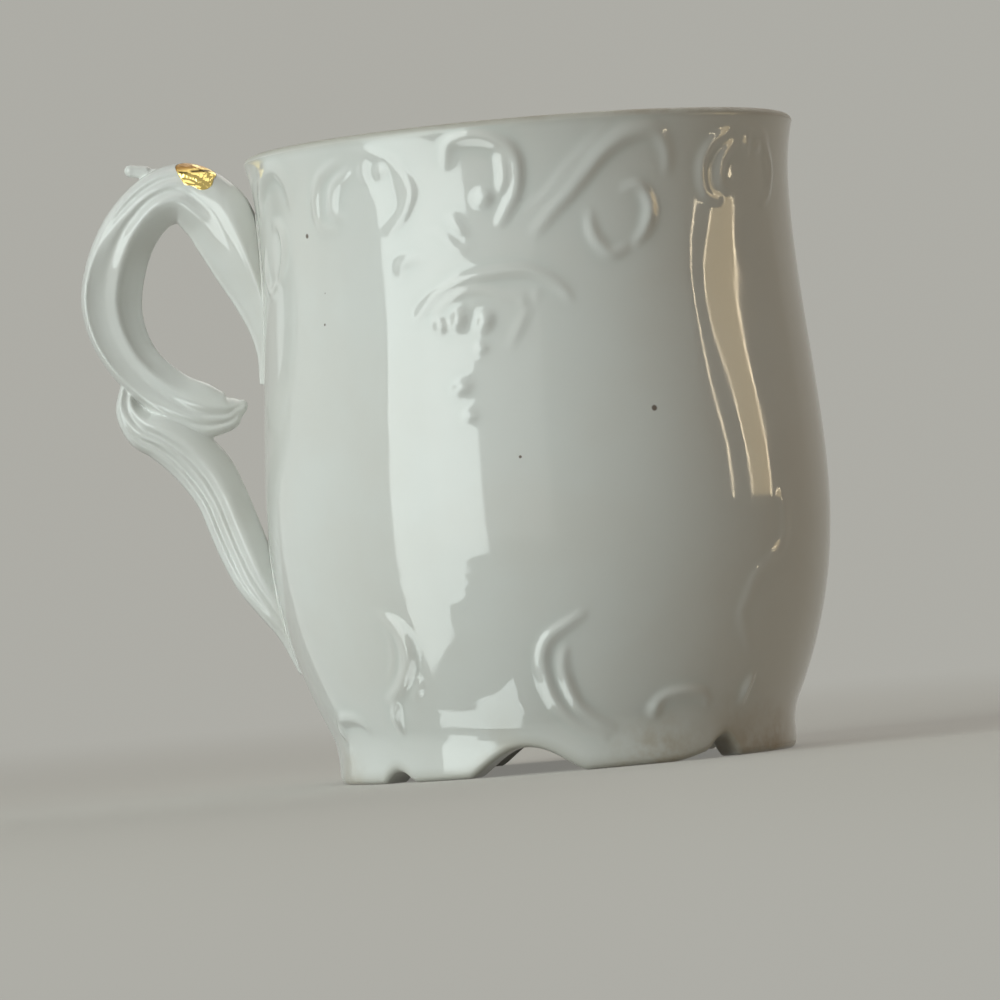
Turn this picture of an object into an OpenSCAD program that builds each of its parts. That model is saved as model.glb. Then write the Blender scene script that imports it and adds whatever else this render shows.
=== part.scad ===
// Porcelain demitasse cup: moulded body with rococo scrolls on a scalloped foot, and a cast scroll handle.
// Millimetres, +Z up. The origin is on the cup's axis, in the plane that the foot stands on.
// Angles run from the front (-Y) towards +X, and the handle points along -X.

/* [Cup outline] */
// Height from the table to the rim
cup_height = 62; // [50:0.5:76]
// Diameter over the flared rim
rim_d = 54.1; // [50:0.1:66]
// Diameter at the neck, behind the upper scrolls
neck_d = 52.4; // [48:0.1:64]
// Diameter at the belly
belly_d = 55.5; // [50:0.1:68]
// Diameter of the skirt's top, where the belly is drawn in
skirt_d = 46.2; // [40:0.1:52]
// Diameter on the table
foot_d = 45; // [38:0.1:50]
// Height of the neck, measured down from the rim
neck_drop = 9; // [7:0.5:12]
// Height of the belly's widest line above the table
belly_height = 26; // [20:0.5:30]
// Height of the skirt above the table
skirt_height = 5; // [4.5:0.1:6.5]

/* [Walls] */
// Thickness of the wall
wall = 2.5; // [1.8:0.1:3.2]
// Thickness of the lip at the rim
lip = 1.8; // [1.4:0.1:2.4]
// Height of the inside floor above the table
floor_height = 6.8; // [6:0.1:9]
// Radius of the corner between the floor and the wall inside
floor_corner = 7; // [4:0.5:10]
// Depth of the recess under the foot
recess_depth = 4.4; // [3:0.1:4.8]
// Width of the foot ring that stands on the table
foot_ring = 3; // [2.2:0.1:4]

/* [Panels and scalloped foot] */
// Depth of the crease between two panels, at the neck
crease_depth = 0.35; // [0.2:0.05:0.8]
// Half the angle that a crease spans
crease_half_angle = 16; // [10:0.5:20]
// Angle from a notch in the foot to the crease above it
crease_angle = 7.5; // [0:0.5:10]
// Rise of the broad arch in each panel's foot
arch_rise = 2.6; // [1.5:0.1:3.2]
// Angle from the panel's middle to the crown of the broad arch
arch_angle = -8; // [-12:0.5:12]
// Half the angle that the broad arch spans
arch_half_angle = 15; // [10:0.5:18]
// Rise of the narrow notch where two panels meet
notch_rise = 1.1; // [0.8:0.1:2.5]
// Half the angle that a notch spans
notch_half_angle = 6; // [5:0.5:9]
// Rise of the front and back lobes towards the notch on their right
sweep_rise = 1; // [0:0.1:1.5]
// Angle over which such a lobe rises
sweep_angle = 16; // [8:0.5:20]

/* [Scrolls] */
// Width of a scroll's ridge
ridge_width = 1.6; // [1.2:0.1:2.2]
// Height of a scroll's ridge above the wall
ridge_height = 0.5; // [0.3:0.05:0.8]

/* [Handle] */
// Reach of the handle's outer side from the wall
handle_reach = 18.2; // [14:0.1:22]
// Rise of the thumb rest above the rim
thumb_rise = 0.3; // [-2:0.1:3]
// Height of the lower root's tail above the table
tail_height = 11.2; // [9:0.1:14]
// Width of the strap at the thumb rest
strap_width = 8; // [6:0.1:9]
// Thickness of the strap at its outer side
strap_thickness = 6; // [4.5:0.1:6.6]
// Radius of the knob beside the thumb rest
knob_radius = 0.65; // [0.5:0.05:0.8]
// Thickness of the slip that joins the handle to the wall
slip_gap = 0.4; // [0.3:0.05:0.6]
// Slip squeezed out round each root
slip_squeeze = 0.5; // [0.3:0.05:0.8]
// Thickness of the gilding
gilt_thickness = 0.15; // [0.1:0.01:0.25]

/* [Hidden] */

glaze_colour = [0.90, 0.92, 0.90];
slip_colour = [0.84, 0.86, 0.84];
gold_colour = [0.83, 0.62, 0.22];

panels = 4;
panel_span = 360 / panels;
columns = 96;
inside_columns = 52;

// Steepness of the wall where the belly leaves the skirt, and of the rim's flare
skirt_slope = 0.47;
foot_slope = 0.05;
rim_flare = 0.27;
// Rounding of the lip and of the foot's outer edge
lip_round = 0.7;
lip_crown = 0.4 * lip;
foot_round = 0.45;
// How far a ridge is sunk into the wall that it grows from
ridge_sink = 0.6;
// Overshoot of a cutter past the face that it opens
cut = 1;

neck_height = cup_height - neck_drop;
lip_height = cup_height - lip_round;
lift_fade = skirt_height + 1.5;
crease_top = neck_height + 3;
crease_full = neck_height - 8;
// Share of a crease's depth that is left at the belly and below
crease_low = 0.15;
// Side of its panel on which each broad arch lies, in mirrored pairs
arch_sides = [1, -1, -1, 1];
recess_r = foot_d / 2 - foot_ring;

// Outline of the outer wall: height, radius and slope at each named level
outline = [
    [0, foot_d / 2, foot_slope],
    [skirt_height, skirt_d / 2, skirt_slope],
    [belly_height, belly_d / 2, 0],
    [neck_height, neck_d / 2, 0],
    [lip_height, rim_d / 2, rim_flare],
];

function mix(a, b, f) = a + (b - a) * f;
function limit(f) = min(max(f, 0), 1);
function ease(f) = let (g = limit(f)) g * g * (3 - 2 * g);
function hump(f) = abs(f) < 1 ? pow(1 - f * f, 1.5) : 0;

// Cubic through two levels of the outline with the slope of each
function blend(a, b, z) =
    let (h = b[0] - a[0], f = (z - a[0]) / h)
    (1 + 2 * f) * pow(1 - f, 2) * a[1] + f * pow(1 - f, 2) * h * a[2]
    + f * f * (3 - 2 * f) * b[1] + f * f * (f - 1) * h * b[2];

function level_above(z, i = 1) = i < len(outline) - 1 && z > outline[i][0] ? level_above(z, i + 1) : i;

// Radius of the plain wall at a height
function wall_r(z) =
    let (level = limit(z / lip_height) * lip_height, i = level_above(level))
    blend(outline[i - 1], outline[i], level);

// Angle from the middle of the panel that a direction lies in
function panel_angle(phi) = (phi + 360 + panel_span / 2) % panel_span - panel_span / 2;
function panel_of(phi) = floor((phi + 360 + panel_span / 2) / panel_span) % panels;
function on_side(panel) = panel % 2 == 1;
function from_notch(phi) = panel_span / 2 - abs(panel_angle(phi));

// Share of a lobe's rise towards the notch on the right of the front and the back panel
function lobe_rise(phi) =
    let (past = (phi + 360 - panel_span / 2 + 90) % 180 - 90)
    ease(1 + (past < 0 ? past / sweep_angle : -past / notch_half_angle));

// Rise of the foot's edge above the table, and a height on the wall moved up with it
function foot_lift(phi) =
    arch_rise * hump((panel_angle(phi) - arch_angle * arch_sides[panel_of(phi)]) / arch_half_angle)
    + notch_rise * hump(from_notch(phi) / notch_half_angle)
    + sweep_rise * lobe_rise(phi);
function lifted(phi, z) = z + foot_lift(phi) * pow(limit(1 - z / lift_fade), 2);

// Share of a crease's depth at a height: it fades out towards the lip, and nearly so towards the belly
function crease_share(z) =
    (1 - ease((z - crease_full) / (crease_top - crease_full)))
    * mix(crease_low, 1, ease((z - belly_height) / (crease_full - belly_height)));

// Radius of the moulded skin, with its creases
function skin_r(phi, z) =
    wall_r(z) - crease_depth * crease_share(z) * hump(from_notch(phi - crease_angle) / crease_half_angle);

function at(phi, r, z) = [r * sin(phi), -r * cos(phi), z];
function middle(points) = [for (k = [0:2]) axis_mean(points, k)];
function axis_mean(points, k) = [for (p = points) p[k]] * [for (p = points) 1] / len(points);
function steps(a, b, n) = [for (i = [0:n - 1]) mix(a, b, i / n)];

// Smooth curve through control rows of any length
function spline_at(p, i, f) =
    let (a = p[max(i - 1, 0)], b = p[i], c = p[i + 1], d = p[min(i + 2, len(p) - 1)])
    b + f / 2 * (c - a + f * (2 * a - 5 * b + 4 * c - d + f * (3 * (b - c) + d - a)));
function spline(p, n) = [
    for (j = [0:n])
        let (u = j / n * (len(p) - 1), i = min(floor(u), len(p) - 2))
        spline_at(p, i, u - i)
];
function ahead(p, i) = p[min(i + 1, len(p) - 1)] - p[max(i - 1, 0)];
function unit(v) = v / norm(v);

// Closed skin over a row of rings that run anticlockwise seen from the last ring
module loft(rings) {
    n = len(rings[0]);
    last = len(rings) - 1;
    points = concat([for (ring = rings, p = ring) p], [middle(rings[0]), middle(rings[last])]);
    sides = [
        for (i = [0:last - 1], c = [0:n - 1])
            let (a = i * n + c, b = i * n + (c + 1) % n)
            each [[a, a + n, b + n], [a, b + n, b]]
    ];
    ends = [
        for (c = [0:n - 1])
            let (d = (c + 1) % n)
            each [[len(points) - 2, c, d], [len(points) - 1, last * n + d, last * n + c]]
    ];
    polyhedron(points, concat(sides, ends));
}

// Heights of the rows of facets on the wall
wall_rows = concat(
    steps(foot_round, skirt_height, 2),
    steps(skirt_height, belly_height, 5),
    steps(belly_height, neck_height, 3),
    steps(neck_height, lip_height, 3),
    [lip_height]
);

function wall_ring(z, grow = 0) = [
    for (c = [0:columns - 1]) let (phi = c * 360 / columns) at(phi, wall_r(z) + grow, z)
];
function skin_ring(z, inset = 0) = [
    for (c = [0:columns - 1])
        let (phi = c * 360 / columns, level = lifted(phi, z))
        at(phi, skin_r(phi, level) - inset, level)
];

// Plain wall as a solid, grown outwards: what the handle's roots are shaped against
module wall_solid(grow) {
    loft([for (z = wall_rows) wall_ring(z, grow)]);
}

// Moulded wall as a solid, from the scalloped foot to the lip
module moulded_solid() {
    loft(concat(
        [skin_ring(0, foot_ring + cut), skin_ring(0, foot_round)],
        [for (z = wall_rows) skin_ring(z)],
        [skin_ring(cup_height - lip_round / 3, lip_round / 3), skin_ring(cup_height, lip_crown)]
    ));
}

// Inside of the cup
module hollow() {
    corner_r = wall_r(floor_height + floor_corner) - wall - floor_corner;
    throat_r = rim_d / 2 - lip;
    mouth_slope = lip_crown / 2 / lip_round;
    rotate_extrude($fn = inside_columns)
        polygon(concat(
            [[0, floor_height]],
            [for (a = [0:30:60])
                [corner_r + floor_corner * sin(a), floor_height + floor_corner * (1 - cos(a))]],
            [for (z = concat(steps(floor_height + floor_corner, neck_height, 4), [neck_height]))
                [wall_r(z) - wall, z]],
            [[throat_r, lip_height], [throat_r + mouth_slope * (lip_round + cut), cup_height + cut],
                [0, cup_height + cut]]
        ));
}

// Recess under the foot
module recess() {
    draft = 0.3;
    corner = 1;
    rotate_extrude($fn = inside_columns)
        polygon([
            [0, -cut], [recess_r, -cut], [recess_r - draft, recess_depth - corner],
            [recess_r - draft - corner, recess_depth], [0, recess_depth],
        ]);
}

// Scroll ridge along control points of angle in the panel and height
module ridge(panel, points, size = 1, segments = 7) {
    path = spline(points, segments);
    skin = [for (p = path) let (phi = p[0] + panel * panel_span) at(phi, skin_r(phi, p[1]), p[1])];
    loft([
        for (i = [0:len(path) - 1])
            let (
                phi = path[i][0] + panel * panel_span,
                out = [sin(phi), -cos(phi), 0],
                across = unit(cross(out, ahead(skin, i))),
                swell = size * (0.45 + 0.55 * sin(180 * i / (len(path) - 1))),
                w = ridge_width * swell / 2,
                h = ridge_height * swell
            )
            [for (s = [[-1, -ridge_sink], [1, -ridge_sink], [0.6, 0.75 * h], [0, h], [-0.6, 0.75 * h]])
                skin[i] + across * s[0] * w + out * s[1]]
    ]);
}

function below_rim(points) = [for (p = points) [p[0], cup_height - p[1]]];

// Upper scrolls: angle in the panel and drop below the rim
small_volute = [[-32.5, 2.4], [-26.6, 2.4], [-22.8, 3.4], [-21.1, 5.1], [-21.5, 7], [-23.4, 8.8],
    [-26.3, 9.8]];
side_bracket = [[-35.7, 3.4], [-40.5, 4.3], [-42.5, 5.8], [-42.3, 7.2], [-40.5, 8.2], [-37.6, 7.6]];
large_volute = [[-13, 2.6], [-6.8, 2.2], [-0.8, 2.7], [2, 4.2], [2.2, 6.2], [0.2, 8.2], [-3.4, 8.2],
    [-4.6, 6.2], [-2.6, 4.6]];
leaf_stem = [[6.5, 12], [10.1, 9.3], [16.9, 6.5], [22.1, 4.4], [28.5, 2.8], [32, 2.8], [33.2, 3.8],
    [32.4, 5.2]];
stem_end = [for (i = [2:len(leaf_stem) - 1]) leaf_stem[i]];
round_scroll = [[22, 7.4], [27.4, 8], [29.3, 10], [26.8, 11.9], [22.6, 12.8], [18.6, 12.3], [16.8, 10.8]];
crest = [[-21.8, 17.8], [-16, 16.2], [-9.4, 14.8], [-3.1, 14.3], [3, 14.4], [7, 15.3], [9.9, 17]];
crest_drops = [[-12, 18.8, 1], [-6.8, 19, 1.2], [-8.4, 21.8, 0.7], [-10.6, 25.4, 1.1], [-12.6, 27.8, 0.7]];

// Lower scrolls: angle in the panel and height above the table
left_scroll = [[-34.4, 16], [-31.4, 14], [-31.2, 11.6], [-34.2, 9.2], [-39, 8]];
right_scroll = [[7.1, 14.2], [2.8, 13], [0.2, 11.1], [-0.2, 8.8], [2, 6.6], [6, 4.9], [12.8, 3.8]];
foot_hook = [[24.5, 4.4], [25.4, 5.8], [28.4, 6.6], [32.4, 6.7], [36, 5.9]];

// Bead of the crest: a low dome on the wall
module crest_drop(panel, angle, drop, radius) {
    phi = angle + panel * panel_span;
    z = cup_height - drop;
    translate(at(phi, skin_r(phi, z) - radius + ridge_height, z))
        sphere(radius, $fn = 10);
}

// All scrolls of one panel; the side panels, one of them behind the handle, have none in the middle
module panel_relief(panel) {
    ridge(panel, below_rim(small_volute));
    ridge(panel, below_rim(round_scroll));
    ridge(panel, below_rim(side_bracket), segments = 5);
    ridge(panel, left_scroll, segments = 5);
    ridge(panel, foot_hook, segments = 5);
    if (on_side(panel)) {
        ridge(panel, below_rim(stem_end), segments = 5);
    } else {
        ridge(panel, below_rim(leaf_stem));
        ridge(panel, below_rim(large_volute), segments = 11);
        ridge(panel, below_rim(crest));
        for (d = crest_drops)
            crest_drop(panel, d[0], d[1], d[2]);
        ridge(panel, right_scroll, 1.2);
    }
}

// Handle: each row is a share of the reach out from the wall, a share of the height from the tail to the
// thumb rest, the thickness and width as shares of the strap's, and the level of the edge beads in the
// section
loop_rows = [
    [-0.025, 0.56, 0.3, 0.25, -0.1],
    [-0.022, 0.615, 0.35, 0.38, -0.1],
    [0, 0.67, 0.5, 0.6, -0.1],
    [0.05, 0.73, 0.7, 0.8, -0.1],
    [0.11, 0.79, 0.92, 0.95, -0.08],
    [0.165, 0.85, 1.1, 1, -0.06],
    [0.23, 0.905, 1.16, 1, -0.06],
    [0.37, 0.942, 1.03, 0.95, -0.1],
    [0.54, 0.928, 0.92, 0.88, -0.24],
    [0.69, 0.88, 0.94, 0.84, -0.34],
    [0.785, 0.816, 0.99, 0.82, -0.38],
    [0.825, 0.744, 1, 0.82, -0.38],
    [0.785, 0.675, 0.92, 0.8, -0.38],
    [0.68, 0.612, 0.84, 0.76, -0.36],
    [0.51, 0.556, 0.84, 0.7, -0.34],
    [0.34, 0.522, 0.9, 0.6, -0.3],
    [0.21, 0.514, 0.66, 0.46, -0.2],
    [0.145, 0.52, 0.36, 0.3, -0.1],
    [0.1, 0.5235, 0.14, 0.15, 0],
];
limb_rows = [
    [0.735, 0.595, 0.2, 0.4, -0.2],
    [0.735, 0.538, 0.47, 0.62, -0.24],
    [0.655, 0.499, 0.72, 0.7, -0.27],
    [0.55, 0.48, 0.84, 0.74, -0.28],
    [0.43, 0.448, 0.9, 0.74, -0.28],
    [0.312, 0.4, 0.9, 0.7, -0.28],
    [0.236, 0.35, 0.84, 0.66, -0.28],
    [0.185, 0.298, 0.84, 0.66, -0.28],
    [0.137, 0.243, 0.82, 0.68, -0.28],
    [0.092, 0.19, 0.76, 0.7, -0.24],
    [0.035, 0.134, 0.6, 0.62, -0.2],
    [-0.002, 0.074, 0.34, 0.42, -0.1],
    [-0.01, 0, 0.16, 0.2, 0],
];
// Where the knob's stem leaves the strap, and how far the knob lies from there in radii
knob_stem = [0.5, 0.932];
knob_offset = [-4.2, 0, 0.7];
// Bead on the spur's tip
spur_tip = [0.12, 0.525];

function handle_z(share) = mix(tail_height, cup_height + thumb_rise, share);
function handle_at(row) = let (z = handle_z(row[1])) [-wall_r(z) - row[0] * handle_reach, 0, z];

// Half section of the strap from its outer crown to its inner crown: bead on the edge, cove on the side,
// then a slope to the narrow inner side; shares of the width and of the thickness
function half_section(edge) = [
    [0, -0.5], [0.26, mix(edge, -0.5, 0.8)], [0.42, mix(edge, -0.5, 0.35)],
    [0.5, edge], [0.46, edge + 0.09], [0.385, edge + 0.2], [0.41, 0.12], [0.28, 0.36], [0.12, 0.48], [0, 0.5],
];
function section(edge) =
    let (half = half_section(edge), n = len(half))
    concat(half, [for (i = [n - 2:-1:1]) [-half[i][0], half[i][1]]]);

// Strap swept along its rows, grown by a coat
module strap(rows, coat = 0) {
    path = spline(rows, 2 * (len(rows) - 1));
    line = [for (row = path) handle_at(row)];
    loft([
        for (i = [0:len(path) - 1])
            let (
                along = unit(ahead(line, i)),
                inward = [-along[2], 0, along[0]],
                t = strap_thickness * path[i][2] + 2 * coat,
                w = strap_width * path[i][3] + 2 * coat
            )
            [for (s = section(path[i][4])) line[i] + inward * s[1] * t + [0, s[0] * w, 0]]
    ]);
}

module bead(place, radius) {
    translate(place)
        sphere(radius, $fn = 12);
}

// Small knob on a short stem that grows out of the strap's crown
module knob() {
    stem = handle_at(knob_stem) + [0, 0, 0.46 * strap_thickness];
    hull() {
        bead(stem, knob_radius * 0.8);
        bead(stem + knob_offset * knob_radius, knob_radius * 0.6);
    }
    bead(stem + knob_offset * knob_radius, knob_radius);
}

// Rows of the loop and of the limb that lie along the wall
upper_root = [for (i = [0:6]) loop_rows[i]];
lower_root = [for (i = [6:12]) limb_rows[i]];

// Slip between the wall and one root, squeezed out round it
module luting_slip(rows) {
    intersection() {
        strap(rows, slip_squeeze);
        difference() {
            wall_solid(slip_gap);
            wall_solid(0);
        }
    }
}

// Worn edge of the gilding seen from above: share of its length and of its width
gilt_edge = [[0, -0.4], [0.12, -0.5], [0.4, -0.46], [0.62, -0.5], [0.7, -0.3], [1, -0.1], [0.94, 0.15],
    [0.74, 0.12], [0.66, 0.42], [0.3, 0.5], [0.08, 0.3]];
gilt_length = 4;
gilt_start = 0.365;
gilt_low = 0.945;

// Ground face that the foot's lobes stand on
module ground_cut() {
    size = 2 * belly_d;
    translate([-size / 2, -size / 2, -size])
        cube(size);
}

module cup_body() {
    color(glaze_colour)
        difference() {
            resize([0, 0, 0])
                difference() {
                    union() {
                        moulded_solid();
                        for (panel = [0:panels - 1])
                            panel_relief(panel);
                    }
                    hollow();
                    recess();
                }
            ground_cut();
        }
}

module handle() {
    color(glaze_colour)
        resize([0, 0, 0])
            difference() {
                union() {
                    strap(loop_rows);
                    strap(limb_rows);
                    knob();
                    bead(handle_at(spur_tip), knob_radius * 0.9);
                }
                wall_solid(slip_gap);
            }
}

module upper_luting_slip() {
    color(slip_colour)
        resize([0, 0, 0])
            luting_slip(upper_root);
}

module lower_luting_slip() {
    color(slip_colour)
        resize([0, 0, 0])
            luting_slip(lower_root);
}

module thumb_gilding() {
    start = handle_at([gilt_start, 1]);
    color(gold_colour)
        resize([0, 0, 0])
            intersection() {
                difference() {
                    strap(loop_rows, gilt_thickness);
                    strap(loop_rows);
                }
                translate([start[0], 0, handle_z(gilt_low)])
                    linear_extrude(strap_thickness)
                        polygon([for (p = gilt_edge) [p[0] * gilt_length, p[1] * strap_width]]);
            }
}

cup_body();
handle();
upper_luting_slip();
lower_luting_slip();
thumb_gilding();
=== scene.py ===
"""Looks of a moulded porcelain demitasse cup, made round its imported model.

Shapes are worked out in millimetres, and a mesh is scaled to metres when it is made. Angles are in degrees,
from the front (-Y) towards +X, and the handle points along -X. The stage and its lights are in metres.
"""
import math

import bpy
import numpy as np
from mathutils import Matrix, Vector
from mathutils.bvhtree import BVHTree


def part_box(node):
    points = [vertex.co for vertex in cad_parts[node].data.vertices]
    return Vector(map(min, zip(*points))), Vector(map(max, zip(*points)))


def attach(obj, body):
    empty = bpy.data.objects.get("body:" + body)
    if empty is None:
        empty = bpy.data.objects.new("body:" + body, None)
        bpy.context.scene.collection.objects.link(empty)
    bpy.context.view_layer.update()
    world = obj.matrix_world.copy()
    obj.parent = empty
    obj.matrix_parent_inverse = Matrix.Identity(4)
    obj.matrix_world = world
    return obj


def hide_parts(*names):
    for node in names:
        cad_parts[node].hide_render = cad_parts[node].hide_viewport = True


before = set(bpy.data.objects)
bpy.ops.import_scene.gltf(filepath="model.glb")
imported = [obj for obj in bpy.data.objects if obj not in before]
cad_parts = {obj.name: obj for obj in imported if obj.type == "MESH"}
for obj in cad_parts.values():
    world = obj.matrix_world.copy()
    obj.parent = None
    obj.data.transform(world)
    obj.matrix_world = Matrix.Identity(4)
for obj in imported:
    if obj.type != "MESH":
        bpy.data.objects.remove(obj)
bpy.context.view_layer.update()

MM = 0.001
BODY = "root"

# Cup outline
CUP_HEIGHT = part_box("cup_body")[1].z / MM
RIM_R = 27.05
NECK_R = 26.2
BELLY_R = 27.75
SKIRT_R = 23.1
FOOT_R = 22.5
SKIRT_HEIGHT = 5
BELLY_HEIGHT = 26
NECK_HEIGHT = CUP_HEIGHT - 9
LIP_ROUND = 0.7
LIP_HEIGHT = CUP_HEIGHT - LIP_ROUND
WALL = 2.5
LIP = 1.8
FLOOR_HEIGHT = 6.8
FLOOR_CORNER = 7
FOOT_RING = 3
RECESS_DEPTH = 4.4
RECESS_R = FOOT_R - FOOT_RING
RECESS_TOP_R = RECESS_R - 0.3
RECESS_CORNER = 1
FOOT_ROUND = 0.65
FOOT_INNER_ROUND = 0.3

# Panels, creases and the scalloped foot
PANELS = 4
PANEL_SPAN = 360 / PANELS
CREASE_DEPTH = 0.45
CREASE_HALF_ANGLE = 16
CREASE_ANGLE = 7.5
CREASE_TOP = NECK_HEIGHT + 3
CREASE_FULL = NECK_HEIGHT - 8
CREASE_LOW = 0.15
# Depth of the crease to the right of each panel against the deepest
CREASE_SHARES = np.array([1, 1, 1, 0.2])
ARCH_RISE = 2.6
ARCH_ANGLE = -8
ARCH_SIDES = np.array([1, -1, -1, 1])
ARCH_HALF_ANGLE = 15
NOTCH_RISE = 1.1
NOTCH_HALF_ANGLE = 6
SWEEP_RISE = 1
SWEEP_ANGLE = 16
LIFT_FADE = SKIRT_HEIGHT + 1.5

# Fineness of the body's skin
COLUMNS = 600
RECESS_RINGS = 5
WALL_ROWS = 214
INSIDE_ROWS = 44
QUARTERS = (0.25, 0.5, 0.75)

# Power that rounds the flanks of an arch, a notch or a crease
HUMP_POWER = 1.5

# Height, radius and slope of the outer wall at its named levels
OUTLINE = np.array([
    [0, FOOT_R, 0.05],
    [SKIRT_HEIGHT, SKIRT_R, 0.47],
    [BELLY_HEIGHT, BELLY_R, 0],
    [NECK_HEIGHT, NECK_R, 0],
    [LIP_HEIGHT, RIM_R, 0.27],
])


def mix(a, b, f):
    """Value at a share of the way from one to another."""
    return a + (b - a) * f


def ease(f):
    """Share that starts and ends softly."""
    f = np.clip(f, 0, 1)
    return f * f * (3 - 2 * f)


def hump(f):
    """Soft hump, 1 in its middle and 0 at a distance of 1."""
    return np.clip(1 - f * f, 0, None) ** HUMP_POWER


def arc(start, end, step):
    """Angles of a rounding in radians, its end included."""
    return np.radians(np.arange(start, end + step / 2, step))


def direction(turn):
    """Level direction at an angle from the front."""
    a = math.radians(turn)
    return Vector((math.sin(a), -math.cos(a), 0))


def wall_radius(z):
    """Radius of the plain wall at a height: a cubic between two levels of the outline."""
    z = np.clip(z, 0, LIP_HEIGHT)
    i = np.clip(np.searchsorted(OUTLINE[:, 0], z), 1, len(OUTLINE) - 1)
    z0, r0, s0 = np.moveaxis(OUTLINE[i - 1], -1, 0)
    z1, r1, s1 = np.moveaxis(OUTLINE[i], -1, 0)
    h = z1 - z0
    f = (z - z0) / h
    return ((1 + 2 * f) * (1 - f) ** 2 * r0 + f * (1 - f) ** 2 * h * s0
            + f * f * (3 - 2 * f) * r1 + f * f * (f - 1) * h * s1)


def panel_angle(phi):
    """Angle from the middle of the panel."""
    return (phi + PANEL_SPAN / 2) % PANEL_SPAN - PANEL_SPAN / 2


def panel_of(phi):
    """Number of the panel: front, right, back and handle side."""
    return np.floor((phi + PANEL_SPAN / 2) / PANEL_SPAN).astype(int) % PANELS


def from_notch(phi):
    """Angle from the nearest border between two panels."""
    return PANEL_SPAN / 2 - np.abs(panel_angle(phi))


def lobe_rise(phi):
    """Share of a lobe's rise towards the notch on the right of the front and the back panel."""
    past = (phi - PANEL_SPAN / 2 + 90) % 180 - 90
    return ease(1 + np.where(past < 0, past / SWEEP_ANGLE, -past / NOTCH_HALF_ANGLE))


def foot_lift(phi):
    """Rise of the foot's edge above the table."""
    arch = hump((panel_angle(phi) - ARCH_ANGLE * ARCH_SIDES[panel_of(phi)]) / ARCH_HALF_ANGLE)
    notch = hump(from_notch(phi) / NOTCH_HALF_ANGLE)
    return ARCH_RISE * arch + NOTCH_RISE * notch + SWEEP_RISE * lobe_rise(phi)


def lifted(phi, z):
    """Height of a level of the wall, which follows the foot's edge low down."""
    fade = (z - FOOT_ROUND) / (LIFT_FADE - FOOT_ROUND)
    return z + foot_lift(phi) * np.clip(1 - fade, 0, 1) ** 2


def skin_radius(phi, z):
    """Radius of the moulded wall with its creases, before the scrolls."""
    to_lip = 1 - ease((z - CREASE_FULL) / (CREASE_TOP - CREASE_FULL))
    to_belly = mix(CREASE_LOW, 1, ease((z - BELLY_HEIGHT) / (CREASE_FULL - BELLY_HEIGHT)))
    local = phi - CREASE_ANGLE
    depth = CREASE_DEPTH * CREASE_SHARES[panel_of(local - PANEL_SPAN / 2)] * to_lip * to_belly
    return wall_radius(z) - depth * hump(from_notch(local) / CREASE_HALF_ANGLE)


def spline(rows, per_span):
    """Smooth curve through control rows of any length."""
    p = np.asarray(rows, float)
    p = np.vstack([p[:1], p, p[-1:]])
    f = np.arange(per_span)[:, None] / per_span
    spans = []
    for a, b, c, d in zip(p, p[1:], p[2:], p[3:]):
        spans.append(b + f / 2 * (c - a + f * (2 * a - 5 * b + 4 * c - d + f * (3 * (b - c) + d - a))))
    return np.vstack([*spans, p[-1:]])


# Moulded scrolls of a panel: points of angle and height, half width, rise, and how far the
# ridge leans: a positive lean spreads its left side, seen along the line, a negative one its right side
SIDE_STROKES = [
    # volute beside the left crease: top line, crescent and inner lines
    ([(-33.3, 60.3), (-28.9, 60), (-24.7, 59.4), (-22.1, 58.8)], 0.5, 0.2, 0),
    ([(-24.8, 59), (-22.4, 58), (-20.9, 56.8), (-20.6, 55.7), (-21.8, 54.4), (-23.2, 53.5),
      (-26.4, 52.4)], 0.45, 0.32, -1.5),
    ([(-24.5, 57.4), (-23.3, 56.7), (-23, 55.8), (-23.4, 54.9)], 0.35, 0.2, 0),
    ([(-30.9, 59.3), (-31.9, 58.2), (-31, 57.3)], 0.6, 0.22, 0),
    # ear-shaped bracket over the left crease
    ([(-37.6, 59.6), (-43, 58.6), (-45.9, 57), (-46.6, 55.2), (-45.3, 53.6), (-41.2, 53.2)], 0.75, 0.36, 0),
    ([(-35.5, 58.6), (-39.5, 57.6), (-41.2, 56.3), (-41.2, 54.7), (-38.4, 54.1)], 0.6, 0.36, 0.6),
    # oval on the right, open at the top
    ([(24.3, 54.6), (27.2, 54.7), (29.2, 53.8), (29.7, 52.3), (28.2, 50.6), (26.1, 49.5)], 0.85, 0.42, 0),
    ([(16.3, 52.4), (16.3, 50.9), (17.7, 49.5), (20.2, 48.5), (23.4, 48.9)], 0.75, 0.36, 0),
    # hook above the foot, and the small leaf beside the crease
    ([(24.4, 4.7), (23.9, 5.4), (25, 6), (27.6, 6.35), (32.5, 6.45), (36.4, 6.1),
      (38, 5.3)], 0.55, 0.5, 0.5),
    ([(-40.5, 5), (-40.2, 6.4), (-38.6, 7.6)], 0.65, 0.62, 0),
]
STEM = [(5.7, 51.2), (8.8, 52.7), (12.5, 54.3), (16.3, 56.1), (19.5, 57.6), (22.7, 58.7), (26.4, 59.4),
        (30.6, 59.6), (32.8, 59), (34.1, 57.7), (34.1, 56.6)]
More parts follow.
